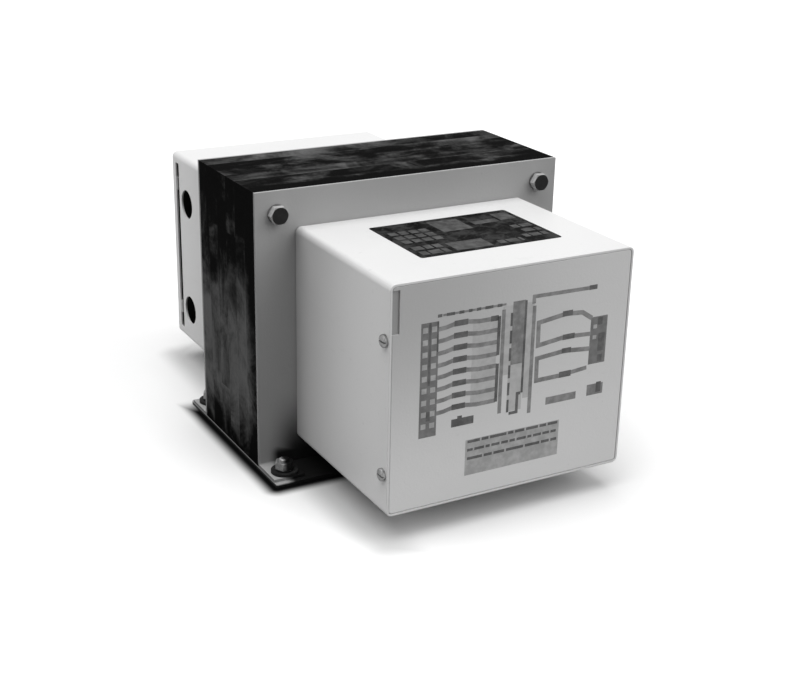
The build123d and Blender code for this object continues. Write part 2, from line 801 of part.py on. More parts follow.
save_base()
save_core()
save_coil()
save_bell_side("front", in_front)
save_bell_side("rear", turned)
save_terminal_side("primary", in_front, primary_count, primary_pitch, primary_exit_pitch,
                   primary_stud_r, primary_nut_across, primary_nut_h, primary_lug_r, primary_lead_r)
save_terminal_side("secondary", turned, secondary_count, secondary_pitch, secondary_exit_pitch,
                   secondary_stud_r, secondary_nut_across, secondary_nut_h, secondary_lug_r, secondary_lead_r)
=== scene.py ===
import json
from math import cos, pi, radians, sin

import bmesh
import bpy
from mathutils import Matrix, Vector


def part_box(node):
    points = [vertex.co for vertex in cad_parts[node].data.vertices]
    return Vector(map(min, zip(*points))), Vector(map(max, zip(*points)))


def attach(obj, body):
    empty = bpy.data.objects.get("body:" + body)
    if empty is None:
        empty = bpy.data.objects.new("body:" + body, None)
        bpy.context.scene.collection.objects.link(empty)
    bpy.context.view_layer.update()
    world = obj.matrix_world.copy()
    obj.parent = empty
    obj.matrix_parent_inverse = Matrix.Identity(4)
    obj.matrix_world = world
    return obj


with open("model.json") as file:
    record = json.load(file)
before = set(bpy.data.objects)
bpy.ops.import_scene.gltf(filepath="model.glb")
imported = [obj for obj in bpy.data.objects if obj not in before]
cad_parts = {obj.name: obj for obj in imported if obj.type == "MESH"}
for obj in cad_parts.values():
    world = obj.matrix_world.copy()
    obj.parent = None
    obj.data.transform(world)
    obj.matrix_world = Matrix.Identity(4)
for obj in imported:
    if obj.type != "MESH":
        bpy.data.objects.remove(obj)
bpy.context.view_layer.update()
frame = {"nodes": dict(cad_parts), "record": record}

nodes = frame["nodes"]

# ---------------------------------------------------------------------------
# Sizes that the finishes and the print follow
# ---------------------------------------------------------------------------
mm = 0.001
sheet_steel = 1.5 * mm
nut_across = 11.1 * mm
pry_width, pry_low, pry_high = 4.8 * mm, 137.0 * mm, 164.0 * mm
bell_low, bell_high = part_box("front_bell")
cover_low, cover_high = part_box("front_cover")
nut_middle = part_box("foot_nuts")[1].x - nut_across / 2


# ---------------------------------------------------------------------------
# Camera: above the front left corner, a little rolled
# ---------------------------------------------------------------------------
camera_azimuth = radians(-29.31)
camera_elevation = radians(21.17)
camera_roll = radians(1.21)
camera_place = Vector((-444.1, -824.6, 421.9)) * mm
camera_lens = 62.42


def make_camera():
    """Looks along the azimuth and the elevation from its place, turned about its own axis by the roll."""
    back = Vector((sin(camera_azimuth) * cos(camera_elevation),
                   -cos(camera_azimuth) * cos(camera_elevation),
                   sin(camera_elevation)))
    level = Vector((0, 0, 1)).cross(back).normalized()
    rise = back.cross(level)
    right = level * cos(camera_roll) + rise * sin(camera_roll)
    up = rise * cos(camera_roll) - level * sin(camera_roll)
    camera = bpy.data.objects.new("camera", bpy.data.cameras.new("camera"))
    camera.data.lens = camera_lens
    camera.matrix_world = Matrix.Translation(camera_place) @ Matrix((right, up, back)).transposed().to_4x4()
    bpy.context.scene.collection.objects.link(camera)
    bpy.context.scene.camera = camera


# ---------------------------------------------------------------------------
# Material maths
# ---------------------------------------------------------------------------
class Wire:
    """One socket of a finish.  Arithmetic on it adds Math nodes."""

    def __init__(self, finish, socket):
        self.finish = finish
        self.socket = socket

    def maths(self, operation, *terms):
        return self.finish.node("ShaderNodeMath", {"operation": operation}, dict(enumerate(terms)))

    def __add__(self, other):
        return self.maths("ADD", self, other)

    def __mul__(self, other):
        return self.maths("MULTIPLY", self, other)

    def __sub__(self, other):
        return self.maths("SUBTRACT", self, other)

    def __rsub__(self, other):
        return self.maths("SUBTRACT", other, self)

    def __abs__(self):
        return self.maths("ABSOLUTE", self)

    __radd__ = __add__
    __rmul__ = __mul__

    def larger(self, other):
        """The larger of two values."""
        return self.maths("MAXIMUM", self, other)

    def over(self, start, end):
        """0 up to start, 1 from end on, and a soft step between."""
        sockets = {"Value": self, "From Min": start, "From Max": end}
        return self.finish.node("ShaderNodeMapRange", {"interpolation_type": "SMOOTHSTEP"}, sockets)


class Finish:
    """The nodes of one material, or of the world."""

    def __init__(self, owner):
        owner.use_nodes = True
        self.owner = owner
        self.tree = owner.node_tree
        self.tree.nodes.clear()

    def node(self, kind, settings=None, sockets=None, output=0):
        """Any node: its settings first, then the values or links of its sockets."""
        node = self.tree.nodes.new(kind)
        for key, value in (settings or {}).items():
            setattr(node, key, value)
        for key, value in (sockets or {}).items():
            if isinstance(value, Wire):
                self.tree.links.new(value.socket, node.inputs[key])
            else:
                node.inputs[key].default_value = value
        return Wire(self, node.outputs[output]) if node.outputs else None

    def place(self, stretch=(1, 1, 1), seed=0.0):
        """Where a point lies in the row frame, in metres, stretched and shifted."""
        at = self.node("ShaderNodeTexCoord", output="Object")
        return self.node("ShaderNodeVectorMath", {"operation": "MULTIPLY_ADD"},
                         {0: at, 1: stretch, 2: (seed, seed, seed)})

    def along(self, axis):
        """One coordinate in the row frame, in metres."""
        at = self.node("ShaderNodeTexCoord", output="Object")
        return self.node("ShaderNodeSeparateXYZ", {}, {0: at}, output="XYZ"[axis])

    def noise(self, place, size, detail=2.0, roughness=0.5, distortion=0.0):
        """Cloudy values with patches of about this size, in metres."""
        return self.node("ShaderNodeTexNoise", {},
                         {"Vector": place, "Scale": 1 / size, "Detail": detail,
                          "Roughness": roughness, "Distortion": distortion})

    def layers(self, axis, size, seed=0.0, detail=2.0):
        """Values that change only along one axis, with layers of about this thickness."""
        return self.node("ShaderNodeTexNoise", {"noise_dimensions": "1D"},
                         {"W": self.along(axis) + seed, "Scale": 1 / size, "Detail": detail})

    def facing(self, axis):
        """1 where a face looks squarely along one axis, 0 where it lies along it."""
        normal = self.node("ShaderNodeNewGeometry", output="Normal")
        return abs(self.node("ShaderNodeSeparateXYZ", {}, {0: normal}, output="XYZ"[axis]))

    def mix(self, factor, low, high):
        """A colour between two."""
        return self.node("ShaderNodeMix", {"data_type": "RGBA"}, {0: factor, 6: low, 7: high}, output=2)

    def bump(self, height, depth):
        """Fine relief of this depth, in metres."""
        return self.node("ShaderNodeBump", {}, {"Height": height, "Distance": depth, "Strength": 1.0})

    def open_air(self, reach):
        """1 where nothing stands near a point, less where something within reach shuts out the light."""
        return self.node("ShaderNodeAmbientOcclusion", {"samples": 8}, {"Distance": reach}, output="AO")

    def seen(self):
        """1 for what the camera sees, also in a polished or a clear surface, and 0 for soft light."""
        seen = self.node("ShaderNodeLightPath", output="Is Camera Ray")
        for ray in ("Is Glossy Ray", "Is Transmission Ray"):
            seen = seen.larger(self.node("ShaderNodeLightPath", output=ray))
        return seen

    def painted(self, **sockets):
        """The finished surface."""
        names = {key.replace("_", " "): value for key, value in sockets.items()}
        shader = self.node("ShaderNodeBsdfPrincipled", {}, names)
        self.node("ShaderNodeOutputMaterial", {}, {"Surface": shader})
        return self.owner


def material_nodes(name):
    """A new material with nothing in it yet."""
    return Finish(bpy.data.materials.new(name))


def grey(level):
    """A neutral colour, from 0 for black to 1 for white."""
    return (level, level, level, 1.0)


# ---------------------------------------------------------------------------
# Where a finish differs, most of them painted shade: each gives 1 there and 0 elsewhere
# ---------------------------------------------------------------------------
def inside_of(node):
    """Finds the inner faces of a folded sheet box: 1 on them and 0 on its outer ones."""
    low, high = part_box(node)

    def where(f):
        inside = 1.0
        for axis in range(3):
            reach = (high[axis] - low[axis]) / 2
            depth = reach - abs(f.along(axis) - (low[axis] + reach))
            inside = depth.over(0.7 * sheet_steel, 0.95 * sheet_steel) * inside
        return inside
    return where


def on_pry_strip(node):
    """Finds the step beside a cover's screwed edge, where a blade goes under to lift it."""
    low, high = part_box(node)
    side, edge = (-1, -low.x) if low.y < 0 else (1, high.x)

    def where(f):
        step = 0.1 * mm
        across = (f.along(0) * side).over(edge - pry_width, edge - pry_width + step)
        up = f.along(2).over(pry_low, pry_low + step) - f.along(2).over(pry_high, pry_high + step)
        return across * up
    return where


def shade_at_feet(f):
    """1 where shade is painted: low down beside the bells, and from each foot nut inwards."""
    beside = abs(f.along(0))
    film = 1 - beside.over(bell_high.x, bell_high.x + 2 * nut_across)
    film = film * (1 - f.along(2).over(8 * mm, 60 * mm))
    pool = 1 - beside.over(nut_middle - 0.4 * nut_across, nut_middle + 0.3 * nut_across)
    pool = pool * (1 - f.along(2).over(10 * mm, 19 * mm))
    return film.larger(pool)


def shaded_nut_side(f):
    """1 on the half of a foot nut or stud that looks to the bells, where shade is painted."""
    return 1 - abs(f.along(0)).over(nut_middle - 1.0 * mm, nut_middle + 2.5 * mm)


def shaded_base_edge(f):
    """1 on the base's cut edge, below the bright line along its top, where a contact shadow is painted."""
    return 1 - f.along(2).over(1.5 * mm, 2.2 * mm)


def cut_edges(f):
    """1 on a frame's left and right edges, where the sheet was cut."""
    return f.facing(0).over(0.6, 0.9)


def shaded_sides(f):
    """1 on a bell's left and right walls next to the frame, less toward its cover, where shade is painted."""
    depth = bell_high.y - bell_low.y
    return f.facing(0) * (1 - abs(f.along(1)).over(-bell_high.y, -bell_high.y + 0.9 * depth))


def shaded_top(f):
    """1 at a cover's top left, where the painted shade is darkest, and 0 at its foot."""
    margin = 10 * mm
    up = f.along(2).over(cover_low.z + margin, cover_high.z - margin)
    return up * (1 - 0.75 * f.along(0).over(cover_low.x, cover_high.x))


# ---------------------------------------------------------------------------
# Finishes
# ---------------------------------------------------------------------------
def baked_enamel(name, level, seed, *marks, shine=0.45):
    """Sprayed and baked enamel: cloudy tone, faint orange peel, thin rubbed marks.

    Each further mark is where it lies, and its darkest and its lightest grey."""
    f = material_nodes(name)
    place = f.place(seed=seed)
    cloud = f.noise(place, 60 * mm, detail=3)
    peel = f.noise(place, 1.6 * mm, detail=1)
    rubbed = f.noise(f.place(stretch=(1, 1, 5), seed=seed), 20 * mm, detail=5, roughness=0.7)
    rubbed = rubbed.over(0.60, 0.74)
    grime = f.noise(place, 4.5 * mm, detail=3, roughness=0.65).over(0.66, 0.76)
    colour = f.mix(cloud, grey(level * 0.96), grey(level * 1.03))
    colour = f.mix(rubbed * 0.30, colour, grey(level * 0.88))
    colour = f.mix(grime * 0.35, colour, grey(level * 0.72))
    for where, dark, light in marks:
        colour = f.mix(where(f), colour, f.mix(cloud, grey(dark), grey(light)))
    return f.painted(Base_Color=colour, Roughness=0.36 + 0.12 * cloud + 0.14 * rubbed,
                     Normal=f.bump(peel, 0.06 * mm), Specular_IOR_Level=shine)


def stacked_varnish(name, seed):
    """Black varnish over the edges of stacked sheets: fine ridges, streaks, and grey patches that are partly
    rubbed varnish and partly painted sheen.

    It is darker towards the top, the foot and the front edge; the top faces carry a painted sheen."""
    f = material_nodes(name)
    place = f.place(seed=seed)
    sheet = f.layers(1, 0.5 * mm, seed, detail=1)
    streak = f.layers(1, 6 * mm, seed, detail=4)
    cloud = f.noise(place, 40 * mm, detail=4, roughness=0.6, distortion=0.8)
    speck = f.noise(place, 3 * mm, detail=3, roughness=0.7)
    above_foot = f.along(2).over(8 * mm, 45 * mm)
    near_top = f.along(2).over(85 * mm, 165 * mm)
    near_front = (f.along(1) * -1).over(30 * mm, 44 * mm)
    top_sheen = f.facing(2) * (0.10 + 0.09 * f.along(1).over(10 * mm, 60 * mm))
    # How pale the core is here: darker towards the top, the foot and the front, plus the painted sheen on top
    # faces.
    thin = 0.24 * above_foot - 0.29 * near_top - 0.15 * near_front + top_sheen
    sheen_and_bare = (cloud * 0.74 + streak * 0.12 + speck * 0.14 + thin).over(0.48, 0.84)
    colour = f.mix(sheen_and_bare, grey(0.003), grey(0.135))
    colour = f.mix(sheet.over(0.50, 0.62) * sheen_and_bare * 0.35, colour, grey(0.024))
    return f.painted(Base_Color=colour, Roughness=0.50 + 0.22 * sheen_and_bare,
                     Normal=f.bump(sheet * 0.7 + speck * 0.3, 0.1 * mm), Specular_IOR_Level=0.001)


def plated_steel(name, level, seed, *marks, shine=0.5):
    """Dull zinc plate, darker where grease and dust hold; further marks as on enamel."""
    f = material_nodes(name)
    place = f.place(seed=seed)
    dull = f.noise(place, 6 * mm, detail=4, roughness=0.65)
    fine = f.noise(place, 0.5 * mm, detail=2)
    colour = f.mix(dull.over(0.35, 0.70), grey(level), grey(level * 0.40))
    for where, dark, light in marks:
        colour = f.mix(where(f), colour, f.mix(dull, grey(dark), grey(light)))
    return f.painted(Base_Color=colour, Metallic=0.55, Roughness=0.34 + 0.26 * dull,
                     Normal=f.bump(fine, 0.02 * mm), Specular_IOR_Level=shine)


def bolt_head(name, level, seed):
    """Hexagon head with bright flats and a front face painted near black as shade and dark reflection."""
    f = material_nodes(name)
    place = f.place(seed=seed)
    dull = f.noise(place, 4 * mm, detail=4, roughness=0.65)
    # Front face painted near black: painted shade and dark reflection.
    black = f.facing(1).over(0.75, 0.95)
    colour = f.mix(dull.over(0.35, 0.70), grey(level), grey(level * 0.75))
    colour = f.mix(black, colour, f.mix(dull, grey(0.010), grey(0.030)))
    return f.painted(Base_Color=colour, Metallic=0.5 - 0.5 * black,
                     Roughness=0.32 + 0.2 * dull + 0.2 * black,
                     Normal=f.bump(dull, 0.04 * mm), Specular_IOR_Level=0.05)


def soft_black(name, level, grain):
    """Rubber or sleeving with a fine grain."""
    f = material_nodes(name)
    place = f.place()
    fine = f.noise(place, grain, detail=3)
    bloom = f.noise(place, grain * 12, detail=3)
    colour = f.mix(bloom.over(0.40, 0.75), grey(level), grey(level * 2.2))
    return f.painted(Base_Color=colour, Roughness=0.62 + 0.22 * bloom, Normal=f.bump(fine, grain * 0.15),
                     Specular_IOR_Level=0.1)


def tinted(name, dark, light, size, depth, gloss=0.5, metal=0.0):
    """A plain moulded, turned or pressed material that varies between two colours."""
    f = material_nodes(name)
    place = f.place()
    cloud = f.noise(place, size, detail=4, roughness=0.6)
    fine = f.noise(place, size / 8, detail=2)
    colour = f.mix(cloud.over(0.30, 0.70), (*dark, 1.0), (*light, 1.0))
    return f.painted(Base_Color=colour, Metallic=metal, Roughness=gloss + 0.2 * cloud,
                     Normal=f.bump(fine, depth))


def wound_wire(name, dark, light, wire):
    """Layers of enamelled wire, one turn above the next."""
    f = material_nodes(name)
    turn = f.node("ShaderNodeMath", {"operation": "PINGPONG"}, {0: f.along(2), 1: wire / 2}) * (2 / wire)
    cloud = f.noise(f.place(), 12 * mm, detail=3)
    colour = f.mix((turn * 0.7 + cloud * 0.3).over(0.1, 0.9), (*dark, 1.0), (*light, 1.0))
    return f.painted(Base_Color=colour, Metallic=0.6, Roughness=0.30 + 0.2 * cloud,
                     Normal=f.bump(turn, wire * 0.4))


enamel_level = 0.665
cover_level = enamel_level * 1.06
# The frames and the base take the bells' grey, painted about half as dark: painted shade.
frame_shaded_level = enamel_level * 0.52
# Greys of the painted shade at the feet, and on the foot nuts and studs.
feet_shade = (0.004, 0.014)
nut_shade = (0.004, 0.012)
# Near black for the insides of the bells and covers: painted shade.
inside_shade = (0.010, 0.022)

# By material slot
finishes = {
    "frame_paint": baked_enamel("frame_enamel", frame_shaded_level, 3.0,
                                (cut_edges, frame_shaded_level * 0.45, frame_shaded_level * 0.55),
                                (shade_at_feet, *feet_shade), shine=0.12),
    "zinc": plated_steel("zinc_plate", 0.17, 0.0),
    "isolator_rubber": soft_black("isolator_rubber", 0.012, 0.6 * mm),
    "lead_insulation": soft_black("lead_sleeve", 0.020, 1.0 * mm),
    "insulation": tinted("moulded_insulation", (0.50, 0.43, 0.28), (0.66, 0.58, 0.40), 10 * mm, 0.04 * mm),
    "paper": tinted("varnished_paper", (0.30, 0.20, 0.10), (0.44, 0.31, 0.17), 14 * mm, 0.1 * mm,
                    gloss=0.35),
    "copper_wire": wound_wire("enamelled_wire", (0.20, 0.06, 0.02), (0.55, 0.22, 0.09), 1.6 * mm),
    "board_phenolic": tinted("pressed_board", (0.045, 0.026, 0.015), (0.10, 0.058, 0.032), 6 * mm, 0.03 * mm),
    "brass": tinted("turned_brass", (0.52, 0.38, 0.14), (0.72, 0.56, 0.26), 4 * mm, 0.01 * mm,
                    gloss=0.22, metal=1.0),
    "tinned_copper": tinted("tinned_copper", (0.44, 0.44, 0.43), (0.66, 0.66, 0.64), 4 * mm, 0.02 * mm,
                            gloss=0.30, metal=1.0),
    "earth_green": tinted("green_lacquer", (0.010, 0.13, 0.04), (0.022, 0.24, 0.08), 5 * mm, 0.02 * mm,
                          gloss=0.3),
}

# By node, where a finish differs from the rest of its slot
own_finish = {
    "core_bolts": bolt_head("core_bolt_heads", 0.62, 0.0),
    "base_plate": baked_enamel("base_enamel", frame_shaded_level, 3.0, (shaded_base_edge, 0.006, 0.020),
                               (shade_at_feet, *feet_shade), shine=0.12),
    "foot_nuts": plated_steel("foot_nuts", 0.34, 2.0, (shaded_nut_side, *nut_shade), shine=0.1),
    "foot_studs": plated_steel("foot_studs", 0.58, 2.5, (shaded_nut_side, *nut_shade), shine=0.1),
    # Washers near black: their colour stands in for the shade round the foot nuts.
    "foot_washers": soft_black("shade_black_washers", 0.006, 0.6 * mm),
    "e_laminations_legs_up": stacked_varnish("varnish_e_laminations_legs_up", 0.0),
    "i_laminations_top": stacked_varnish("varnish_i_laminations_top", 1.7),
    "e_laminations_legs_down": stacked_varnish("varnish_e_laminations_legs_down", 4.1),
    "i_laminations_bottom": stacked_varnish("varnish_i_laminations_bottom", 6.3),
}
cover_screws = plated_steel("cover_screws", 0.30, 5.0)
for side in ("front", "rear"):
    bell, cover = f"{side}_bell", f"{side}_cover"
    own_finish[f"{side}_cover_screws"] = cover_screws
    # Bell walls are painted darker next to the frame: painted shade.
    own_finish[bell] = baked_enamel(f"{bell}_enamel", enamel_level, 0.0,
                                    (shaded_sides, enamel_level * 0.64, enamel_level * 0.66),
                                    (inside_of(bell), *inside_shade))
    own_finish[f"{side}_entry_panel"] = own_finish[bell]
    # Covers are painted darker toward the top left: painted shade.
    own_finish[cover] = baked_enamel(f"{cover}_enamel", cover_level, 0.0,
                                     (shaded_top, cover_level * 0.61, cover_level * 0.63),
                                     (inside_of(cover), *inside_shade),
                                     # The pry step is painted darker: painted shade in the step.
                                     (on_pry_strip(cover), cover_level * 0.30, cover_level * 0.52))


def dress(node, material):
    """Give a CAD node its finish."""
    slots = nodes[node].data.materials
    slots.clear()
    slots.append(material)


for subpart in frame["record"]["subparts"]:
    node, slot = subpart["node"], subpart["material_slot"]
    dress(node, own_finish.get(node) or finishes[slot])


# ---------------------------------------------------------------------------
# Printed shapes
# ---------------------------------------------------------------------------
def bar(left, right, low, high):
    """Outline of an upright rectangle."""
    return [Vector((left, low)), Vector((right, low)), Vector((right, high)), Vector((left, high))]


def dashes(left, right, mid, height, lengths, gap):
    """A row of short bars of unlike length."""
    row, at, turn = [], left, 0
    while at < right:
        length = lengths[turn % len(lengths)]
        row.append(bar(at, min(at + length, right), mid - height / 2, mid + height / 2))
        at += length + gap
        turn += 1
    return row


def stroke(points, width):
    """Outline of a line of even width through the points, its corners mitred."""
    points = [Vector(p) for p in points]
    runs = [(b - a).normalized() for a, b in zip(points, points[1:])]
    left, right = [], []
    for i, point in enumerate(points):
        before, after = runs[max(i - 1, 0)], runs[min(i, len(runs) - 1)]
        across = (before + after).normalized().orthogonal()
        reach = across * (width / 2 / across.dot(after.orthogonal()))
        left.append(point + reach)
        right.append(point - reach)
    return left + right[::-1]


def rounded_bar(left, right, low, high, radius, steps=6):
    """Outline of a rectangle with rounded corners."""
    outline = []
    corners = [(right - radius, high - radius), (left + radius, high - radius),
               (left + radius, low + radius), (right - radius, low + radius)]
    for turn, (x, y) in enumerate(corners):
        for step in range(steps + 1):
            angle = (turn + step / steps) * pi / 2
            outline.append(Vector((x + radius * cos(angle), y + radius * sin(angle))))
    return outline


def on_plane(origin, across, up):
    """Carries (u, v, height), in millimetres, to a plane in the row frame."""
    across, up = Vector(across), Vector(up)
    turn = Matrix((across, up, across.cross(up))).transposed().to_4x4()
    return Matrix.Translation(Vector(origin)) @ turn @ Matrix.Scale(mm, 4)


def lay(name, outlines, plane, base, thickness, material):
    """Thin closed shapes that lie on a surface, as one piece."""
    shape = bmesh.new()
    for outline in outlines:
        bottom = [shape.verts.new((*p, base)) for p in outline]
        top = [shape.verts.new((*p, base + thickness)) for p in outline]
        shape.faces.new(top)
        shape.faces.new(bottom[::-1])
        for i in range(len(outline)):
            shape.faces.new((bottom[i - 1], bottom[i], top[i], top[i - 1]))
    bmesh.ops.recalc_face_normals(shape, faces=shape.faces)
    shape.transform(plane)
    mesh = bpy.data.meshes.new(name)
    shape.to_mesh(mesh)
    shape.free()
    mesh.materials.append(material)
    piece = bpy.data.objects.new(name, mesh)
    bpy.context.scene.collection.objects.link(piece)
    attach(piece, "root")
    return piece


def print_ink(name, level, uneven=0.15):
    """Screen ink that lies a little thicker here and thinner there."""
    f = material_nodes(name)
    cover = f.noise(f.place(), 6 * mm, detail=3, roughness=0.6)
    colour = f.mix(cover.over(0.30, 0.72), grey(level * (1 - uneven)), grey(level * (1 + uneven)))
    return f.painted(Base_Color=colour, Roughness=0.55 + 0.1 * cover, Normal=f.bump(cover, 0.01 * mm),
                     Specular_IOR_Level=0.15)


ink_film = 0.03          # its thickness in millimetres
dark_ink = print_ink("dark_ink", 0.125, 0.25)
mid_ink = print_ink("mid_ink", 0.19)
soft_ink = print_ink("soft_ink", 0.25, 0.22)
pale_ink = print_ink("pale_ink", 0.42)
faint_ink = print_ink("faint_ink", 0.49, 0.08)

# Wiring diagram on the front cover, in millimetres: u is the row frame's X and v its Z
on_cover = on_plane((0, cover_low.y, 0), (1, 0, 0), (0, 0, 1))

wire_pitch = 7.7
wire_top = 136.4
wire_count = 8
wire_width = 2.8
wire_rise = 1.2
strip_left, strip_right = -65.5, -53.5
strip_mid = -59.5
strip_low, strip_high = 67.5, 141.0
cell = 3.4
cell_inset = 3.0
block_left, block_right = -43.0, -33.5
block_height = 3.6
winding_right = -12.0
loop_width = 3.0
core_dash, core_dash_pitch, core_dash_count = 8.4, 11.4, 6
strips, shades, tints, wires, cells, lines, blocks = [], [], [], [], [], [], []


def draw_left_strip():
    """Terminal strip with two columns of cells."""
    strips.append(bar(strip_left, strip_right, strip_low, strip_high))
    lines.append(bar(strip_mid - 0.7, strip_mid + 0.9, 101, strip_high))
    lines.append(bar(strip_right - 1.2, strip_right, 122, strip_high))
    blocks.append(bar(strip_mid - 1.2, strip_mid + 1.4, 78, 84))
    for i in range(wire_count + 1):
        mid = wire_top - i * wire_pitch
        for x in (strip_left + cell_inset, strip_right - cell_inset):
            cells.append(bar(x - cell / 2, x + cell / 2, mid - cell / 2, mid + cell / 2))


def draw_left_windings():
    """Wires from the strip to two windings, a block on each, and a dashed title line above them."""
    heights = [wire_top - i * wire_pitch for i in range(wire_count)]
    for mid in heights:
        high = mid + wire_rise
        wires.append(stroke([(strip_right, mid - 0.6), (strip_right + 5, mid - 0.2), (block_left + 1, high)],
                            wire_width))
        blocks.append(bar(block_left, block_right, high - block_height / 2, high + block_height / 2))
        wires.append(stroke([(block_right - 1, high), (block_right + 8, mid), (winding_right, mid)],
                            wire_width))
    half = wire_count // 2
    for group in (heights[:half], heights[half:]):
        blocks.append(bar(winding_right - 0.6, winding_right + 1.6, group[-1] - 1, group[0] + 1))
    blocks.append(bar(winding_right - 5.5, winding_right - 0.2, wire_top - 1.6, wire_top + 1.8))
    wires.append(bar(-51.0, -7.0, 143.5, 144.9))
    lines.extend(dashes(-54.5, -7.0, 144.2, 1.9, (3.0, 5.6, 3.4, 2.6), 3.0))


def draw_core():
    """Core between the windings: shaded columns, two border lines and a column of dashes."""
    tints.append(bar(-2.0, 7.2, 104.0, 145.0))
    shades.append(bar(-30.0, winding_right - 0.8, 84, 137))
    shades.append(bar(-9.0, -2.0, 98, 143))
    shades.append(bar(-3.4, 7.4, 73, 104))
    shades.append(bar(8.0, 13.4, 80, 143))
    wires.append(bar(-9.8, -7.2, 73, 141))
    wires.append(bar(12.3, 14.9, 69, 140))
    lines.append(bar(6.6, 8.2, 84, 144.5))
    lines.append(stroke([(6.4, 84), (4.2, 84), (4.2, 71.6), (-1.4, 71.6)], 2.0))
    for i in range(core_dash_count):
        low = 72.6 + i * core_dash_pitch
        lines.append(bar(-3.4, -1.8, low, low + core_dash))


def draw_right_side():
    """Title line, two winding loops with their blocks, and the terminal strip on the right."""
    wires.append(stroke([(13.0, 141.5), (13.0, 146.0), (55.0, 145.4)], 2.5))
    blocks.append(bar(54.0, 60.0, 144.0, 147.0))
    wires.append(stroke([(57.5, 125.0), (50.0, 130.0), (37.6, 131.0), (17.3, 128.4), (17.6, 113.4),
                         (36.5, 115.6)], loop_width))
    wires.append(stroke([(57.5, 104.6), (38.0, 106.4), (17.5, 104.8), (17.8, 90.0), (36.0, 90.2)],
                        loop_width))
    wires.append(stroke([(44.0, 115.4), (57.5, 114.6)], wire_width))
    wires.append(stroke([(43.0, 90.8), (56.0, 92.0)], wire_width))
    blocks.append(bar(35.0, 42.5, 129.4, 133.0))
    blocks.append(bar(36.0, 45.0, 113.8, 117.4))
    blocks.append(bar(36.0, 43.0, 104.8, 108.2))
    blocks.append(bar(35.0, 44.0, 88.6, 92.6))
    strips.append(bar(57.0, 69.8, 93.6, 125.4))
    cells.append(bar(59.2, 62.0, 110.4, 113.0))
    cells.append(bar(59.2, 62.0, 117.6, 120.2))
    blocks.append(bar(63.6, 68.4, 101.8, 114.0))
    blocks.append(bar(62.4, 66.0, 119.6, 124.6))
    blocks.append(bar(63.8, 67.4, 94.6, 99.4))


def draw_loose_fields():
    """Small fields below the diagram."""
    tints.append(bar(26.0, 49.0, 72.0, 77.0))
    tints.append(bar(57.5, 70.0, 72.0, 79.5))
    lines.append(bar(-42.8, -27.0, 70.4, 75.6))
    blocks.append(bar(-38.6, -35.4, 71.4, 77.2))
    blocks.append(bar(64.6, 68.4, 73.4, 80.4))


draw_left_strip()
draw_left_windings()
draw_core()
draw_right_side()
draw_loose_fields()

# Data plate field: rows of plain dashes
plate_left, plate_right, plate_low, plate_high = -32.0, 37.4, 35.4, 59.6
plate_tint = [bar(plate_left, plate_right, plate_low, plate_high)]
plate_rows = []
for mid, height, lengths in ((58.2, 1.9, (9, 5, 12, 4, 7)),
                             (52.6, 1.8, (4, 7, 3, 6, 5)),
                             (46.8, 1.9, (11, 6, 8, 13))):
    plate_rows += dashes(plate_left + 1.4, plate_right - 1.2, mid, height, lengths, 1.2)

lay("diagram_strips", strips, on_cover, 0, ink_film, mid_ink)
lay("diagram_shades", shades, on_cover, 0, ink_film / 10, faint_ink)
lay("diagram_fields", tints, on_cover, 0, ink_film, soft_ink)
lay("diagram_wires", wires, on_cover, ink_film / 6, ink_film * 1.1, soft_ink)
lay("diagram_cells", cells, on_cover, ink_film, ink_film / 3, pale_ink)
lay("diagram_lines", lines, on_cover, ink_film / 2, ink_film * 1.5, dark_ink)
lay("diagram_blocks", blocks, on_cover, ink_film / 3, ink_film * 2.5, dark_ink)
lay("data_field", plate_tint, on_cover, 0, ink_film, pale_ink)
lay("data_rows", plate_rows, on_cover, ink_film, ink_film, dark_ink)

# Label on top of the front bell, in millimetres: u is the row frame's X and v its Y
on_bell = on_plane((0, 0, bell_high.z), (1, 0, 0), (0, 1, 0))
label_left, label_right, label_near, label_far = -46.0, 57.0, -141.0, -72.0
label_film = 0.15        # its thickness
label_corner = 2.0


def printed_film(name):
    """Dark label film, scuffed and mottled."""
    f = material_nodes(name)
    place = f.place()
    mottle = f.noise(place, 10 * mm, detail=4, roughness=0.7, distortion=0.6)
    worn = f.noise(place, 2.4 * mm, detail=4, roughness=0.75)
    colour = f.mix(mottle.over(0.40, 0.62), grey(0.002), grey(0.032))
    colour = f.mix(worn.over(0.58, 0.70) * 0.5, colour, grey(0.08))
    return f.painted(Base_Color=colour, Roughness=0.40 + 0.2 * mottle, Normal=f.bump(worn, 0.02 * mm),
                     Specular_IOR_Level=0.01)


def label_fields():
    """Plain fields, a block of cells and rows of dashes on the label."""
    cell_width, cell_height = 5.6, 6.4
    fields = [bar(-6, 16, -100, -77), bar(21, 40, -94, -87), bar(42, 54, -92, -78), bar(-18, 8, -137, -121)]
    fields += [bar(x, x + cell_width, y, y + cell_height)
               for x in (-41, -33.5, -26, -18.5) for y in (-94, -103, -112)]
    for left, right, mid, height, lengths in ((-42, -22, -123, 7, (7, 5)),
                                              (-42, -22, -133, 7, (5, 8)),
                                              (40, 55, -108, 6, (5, 8, 4)),
                                              (14, 32, -133, 6, (5, 8, 4)),
                                              (42, 55, -118, 6, (8, 4, 6)),
                                              (36, 55, -128, 6, (4, 7))):
        fields += dashes(left, right, mid, height, lengths, 1.5)
    return fields


label_outline = rounded_bar(label_left, label_right, label_near, label_far, label_corner)
label_grey = print_ink("label_grey", 0.052, 0.50)
lay("rating_label", [label_outline], on_bell, 0, label_film, printed_film("label_film"))
lay("rating_label_print", label_fields(), on_bell, label_film, ink_film, label_grey)


